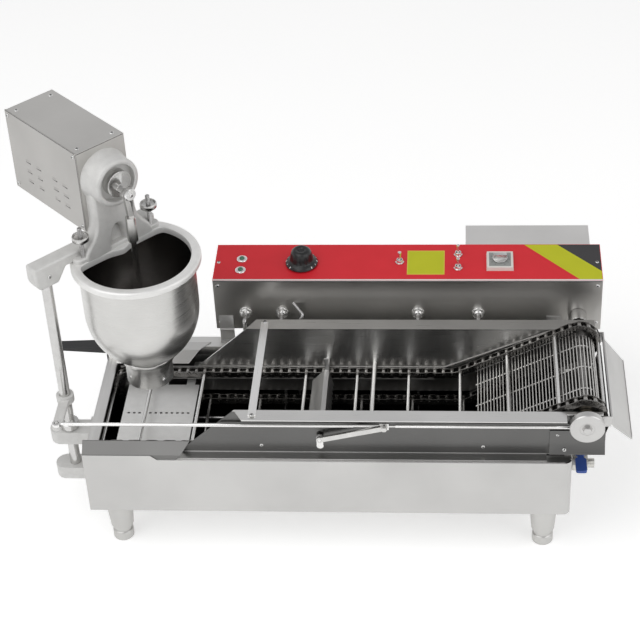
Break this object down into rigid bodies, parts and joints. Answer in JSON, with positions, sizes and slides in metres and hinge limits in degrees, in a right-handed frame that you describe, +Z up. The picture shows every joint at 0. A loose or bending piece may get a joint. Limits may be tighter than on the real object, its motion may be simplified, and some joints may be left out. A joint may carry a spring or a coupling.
{
  "type": "automatic donut maker",
  "caption": "Countertop automatic donut fryer: swinging batter hopper with plunger over a heated oil tank, chain conveyor with turner and draining climb, and a control box behind.",
  "frame": {"origin": "on the floor, at the centre of the machine's overall plan box", "axes": "+X along the tank from the hopper to the discharge chute, +Y from the front panel to the control box, +Z up"},
  "size_m": [1.0938, 0.504, 0.757],
  "materials": {
    "stainless_brushed": "brushed along its length",
    "stainless_satin": "satin",
    "stainless_polished": "polished",
    "cast_aluminium": "fine cast, silver grey",
    "chain_steel": "oiled dark steel",
    "bearing_bronze": "plain",
    "panel_red": "printed panel, satin",
    "black_plastic": "matt",
    "lamp_green": "clear green lens",
    "timer_grey": "satin",
    "lever_blue": "dipped vinyl",
    "foot_steel": "satin"
  },
  "bodies": {
    "tank": {"tank_casing": "stainless_brushed", "front_panel": "stainless_brushed", "tank_basin": "stainless_satin", "infeed_covers": "stainless_brushed", "legs": "stainless_satin", "side_handle": "black_plastic", "drain_valve": "bearing_bronze", "column_bracket": "cast_aluminium", "side_channel_front": "stainless_brushed", "side_channel_rear": "stainless_brushed", "chain_frames": "stainless_satin", "guide_rails": "stainless_satin", "cross_ties": "stainless_brushed", "conveyor_brackets": "stainless_brushed", "drive_bearings": "bearing_bronze", "chains": "chain_steel", "flights": "stainless_polished", "drain_grille": "stainless_polished", "chute": "stainless_brushed", "drop_plate": "stainless_brushed", "control_box": "stainless_brushed", "control_panel": "panel_red", "motor_housing": "stainless_brushed", "box_mounts": "stainless_brushed", "immersion_tubes": "stainless_polished", "heater_glands": "stainless_polished", "indicator_lamps": "lamp_green", "panel_bushings": "stainless_polished", "timer_body": "timer_grey"},
    "depositor": {"column": "stainless_polished", "rocker_arm": "stainless_polished", "support_arm": "cast_aluminium", "hopper_ring": "stainless_satin", "hopper_bowl": "stainless_satin", "hopper_neck": "stainless_satin", "head_casting": "cast_aluminium", "motor_box": "stainless_brushed", "motor_side_panel": "stainless_brushed", "head_motor": "chain_steel"},
    "plunger_crank": {"crank_hub": "stainless_polished"},
    "plunger": {"plunger": "stainless_satin"},
    "thumb_nut_left": {"thumb_nut_left": "stainless_polished"},
    "thumb_nut_right": {"thumb_nut_right": "stainless_polished"},
    "link_rod": {"link_rod": "stainless_polished"},
    "flipper": {"flipper_shaft": "stainless_polished", "flipper_tray": "stainless_satin"},
    "flipper_link": {"flipper_link": "stainless_polished"},
    "conveyor_drive": {"drive_shaft": "stainless_polished", "crank_disc": "stainless_polished"},
    "conveyor_idler": {"idler_shaft": "stainless_polished"},
    "thermostat_knob": {"thermostat_knob": "black_plastic"},
    "timer_knob": {"timer_knob": "timer_grey"},
    "toggle_left": {"toggle_left": "stainless_polished"},
    "toggle_rear": {"toggle_rear": "stainless_polished"},
    "toggle_front": {"toggle_front": "stainless_polished"},
    "valve_lever": {"valve_lever": "lever_blue"},
    "foot_front_left": {"foot_front_left": "foot_steel"},
    "foot_front_right": {"foot_front_right": "foot_steel"},
    "foot_rear_left": {"foot_rear_left": "foot_steel"},
    "foot_rear_right": {"foot_rear_right": "foot_steel"}
  },
  "joints": [
    {"name": "hopper_swing", "type": "hinge", "parent": "tank", "child": "depositor", "pos_m": [-0.465, -0.142, 0.222], "axis": [0, 0, 1], "range_deg": [-9, 9]},
    {"name": "plunger_stroke", "type": "slide", "parent": "depositor", "child": "plunger", "axis": [0, 0, 1], "range_m": [0, 0.016]},
    {"name": "plunger_crank_turn", "type": "hinge", "parent": "depositor", "child": "plunger_crank", "pos_m": [-0.33621, -0.07479, 0.696], "axis": [0.7071, -0.7071, 0], "range_deg": [0, 180]},
    {"name": "thumb_nut_left_turn", "type": "hinge", "parent": "depositor", "child": "thumb_nut_left", "pos_m": [-0.40197, -0.11085, 0.604], "axis": [0, 0, 1], "continuous": true},
    {"name": "thumb_nut_right_turn", "type": "hinge", "parent": "depositor", "child": "thumb_nut_right", "pos_m": [-0.30015, -0.00903, 0.604], "axis": [0, 0, 1], "continuous": true},
    {"name": "link_rod_slide", "type": "slide", "parent": "tank", "child": "link_rod", "axis": [1, 0, 0], "range_m": [-0.013, 0.013]},
    {"name": "flipper_turn", "type": "hinge", "parent": "tank", "child": "flipper", "pos_m": [-0.003, -0.1, 0.246], "axis": [0, 1, 0], "range_deg": [-50, 50]},
    {"name": "flipper_link_turn", "type": "hinge", "parent": "flipper", "child": "flipper_link", "pos_m": [-0.003, -0.23, 0.263], "axis": [0, 1, 0], "range_deg": [-50, 50]},
    {"name": "conveyor_drive_turn", "type": "hinge", "parent": "tank", "child": "conveyor_drive", "pos_m": [0.457, -0.1, 0.303], "axis": [0, 1, 0], "continuous": true, "deforming": ["chains"]},
    {"name": "conveyor_idler_turn", "type": "hinge", "parent": "tank", "child": "conveyor_idler", "pos_m": [-0.37412, -0.1, 0.19325], "axis": [0, 1, 0], "continuous": true},
    {"name": "thermostat_turn", "type": "hinge", "parent": "tank", "child": "thermostat_knob", "pos_m": [-0.053, 0.12739, 0.39428], "axis": [0, -0.056, 0.9984], "range_deg": [-270, 0]},
    {"name": "timer_turn", "type": "hinge", "parent": "tank", "child": "timer_knob", "pos_m": [0.314, 0.12916, 0.39839], "axis": [0, -0.056, 0.9984], "range_deg": [-300, 0]},
    {"name": "toggle_left_tilt", "type": "hinge", "parent": "tank", "child": "toggle_left", "pos_m": [0.129, 0.12967, 0.3894], "axis": [1, 0, 0], "range_deg": [0, 26]},
    {"name": "toggle_rear_tilt", "type": "hinge", "parent": "tank", "child": "toggle_rear", "pos_m": [0.237, 0.15163, 0.39064], "axis": [1, 0, 0], "range_deg": [0, 26]},
    {"name": "toggle_front_tilt", "type": "hinge", "parent": "tank", "child": "toggle_front", "pos_m": [0.237, 0.1117, 0.3884], "axis": [1, 0, 0], "range_deg": [0, 26]},
    {"name": "valve_lever_turn", "type": "hinge", "parent": "tank", "child": "valve_lever", "pos_m": [0.457, -0.132, 0.151], "axis": [0, 0, 1], "range_deg": [0, 90]},
    {"name": "foot_front_left_turn", "type": "hinge", "parent": "tank", "child": "foot_front_left", "pos_m": [-0.381, -0.196, 0.015], "axis": [0, 0, 1], "continuous": true},
    {"name": "foot_front_right_turn", "type": "hinge", "parent": "tank", "child": "foot_front_right", "pos_m": [0.391, -0.196, 0.015], "axis": [0, 0, 1], "continuous": true},
    {"name": "foot_rear_left_turn", "type": "hinge", "parent": "tank", "child": "foot_rear_left", "pos_m": [-0.381, 0.041, 0.015], "axis": [0, 0, 1], "continuous": true},
    {"name": "foot_rear_right_turn", "type": "hinge", "parent": "tank", "child": "foot_rear_right", "pos_m": [0.391, 0.041, 0.015], "axis": [0, 0, 1], "continuous": true}
  ],
  "couplings": [
    {"joint": "link_rod_slide", "follows": "hopper_swing", "m_per_rad": 0.0825},
    {"joint": "flipper_turn", "follows": "hopper_swing", "ratio": 5.55},
    {"joint": "flipper_link_turn", "follows": "hopper_swing", "ratio": -5.55},
    {"joint": "conveyor_idler_turn", "follows": "conveyor_drive_turn", "ratio": 1},
    {"joint": "plunger_crank_turn", "follows": "plunger_stroke", "rad_per_m": 196}
  ]
}
